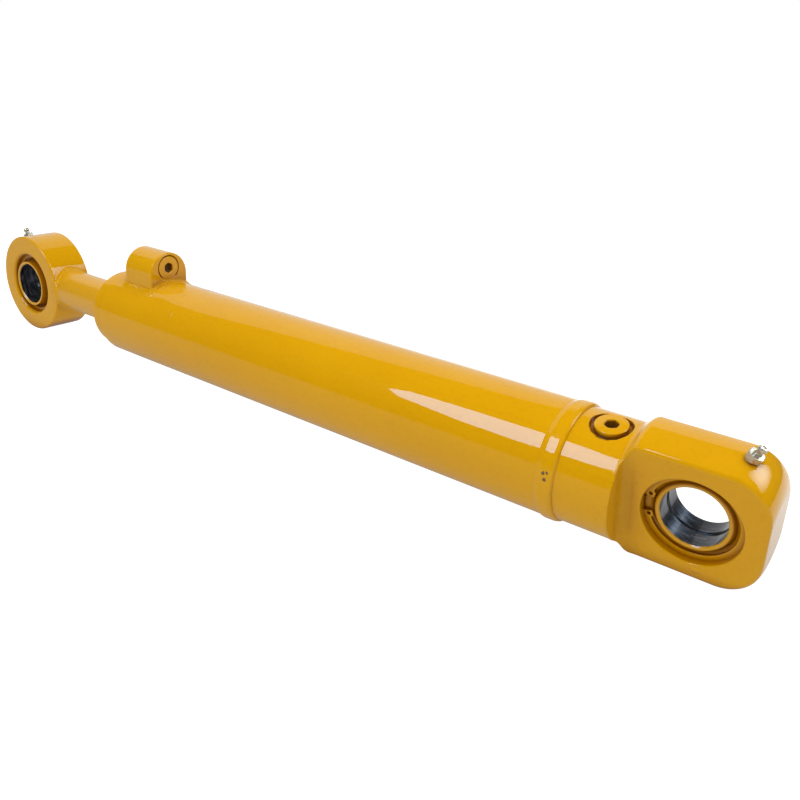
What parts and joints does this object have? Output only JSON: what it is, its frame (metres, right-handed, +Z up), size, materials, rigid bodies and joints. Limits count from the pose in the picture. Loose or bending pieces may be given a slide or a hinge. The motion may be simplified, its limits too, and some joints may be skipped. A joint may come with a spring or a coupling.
{
  "type": "hydraulic cylinder",
  "caption": "Double-acting hydraulic cylinder with a spherical plain bearing in each eye, a flat-sided cap eye, a round rod eye and a port boss on the head.",
  "frame": {"origin": "centre of the footprint of the whole closed cylinder, at floor level", "axes": "+Z up, +X along the barrel axis towards the cap eye, Y along the pin of the rod eye, the ports and the front of the object seen from -Y"},
  "size_m": [0.9816, 0.1008, 0.1427],
  "materials": {
    "yellow_paint": "glossy yellow enamel",
    "chrome_bar": "hard chrome, ground; enamelled where it stands out of the gland",
    "machined_steel": "turned",
    "oiled_steel": "blackened and oiled",
    "zinc": "yellow zinc plate",
    "bronze": "sliding bearing strip",
    "rubber": "matt",
    "polyurethane": "satin"
  },
  "bodies": {
    "barrel": {"cap_eye": "yellow_paint", "cap_bearing_outer": "yellow_paint", "cap_circlip_front": "yellow_paint", "cap_circlip_back": "yellow_paint", "cap_port_plug": "yellow_paint", "cap_plug_washer": "machined_steel", "cap_grease_nipple": "zinc", "cap_weld": "yellow_paint", "barrel_tube": "yellow_paint", "head_weld": "yellow_paint", "head_housing": "yellow_paint", "port_boss": "yellow_paint", "port_boss_weld": "yellow_paint", "head_port_plug": "yellow_paint", "head_plug_washer": "machined_steel", "gland": "yellow_paint", "rod_bushing": "bronze", "buffer_seal": "polyurethane", "rod_seal": "polyurethane", "gland_o_ring": "rubber", "gland_backup_ring": "polyurethane", "wiper_seal": "rubber"},
    "piston_rings": {"piston_seal": "rubber", "piston_wear_band_1": "bronze", "piston_wear_band_2": "bronze"},
    "rod_assembly": {"rod": "chrome_bar", "rod_eye_weld": "yellow_paint", "piston": "machined_steel", "piston_nut": "machined_steel", "rod_eye": "yellow_paint", "rod_bearing_outer": "yellow_paint", "rod_circlip_front": "yellow_paint", "rod_circlip_back": "yellow_paint", "rod_grease_nipple": "zinc"},
    "cap_ball": {"cap_bearing_inner": "oiled_steel"},
    "rod_ball": {"rod_bearing_inner": "oiled_steel"}
  },
  "joints": [
    {"name": "rod_slide", "type": "slide", "parent": "barrel", "child": "piston_rings", "axis": [-1, 0, 0], "range_m": [0, 0.46]},
    {"name": "rod_spin", "type": "hinge", "parent": "piston_rings", "child": "rod_assembly", "pos_m": [0.29785, 0, 0.0606], "axis": [1, 0, 0], "continuous": true},
    {"name": "cap_ball_spin", "type": "hinge", "parent": "barrel", "child": "cap_ball", "pos_m": [0.43785, 0, 0.0606], "axis": [0, 0.9848, 0.1736], "continuous": true},
    {"name": "rod_ball_spin", "type": "hinge", "parent": "rod_assembly", "child": "rod_ball", "pos_m": [-0.43015, 0, 0.0606], "axis": [0, 1, 0], "continuous": true}
  ]
}
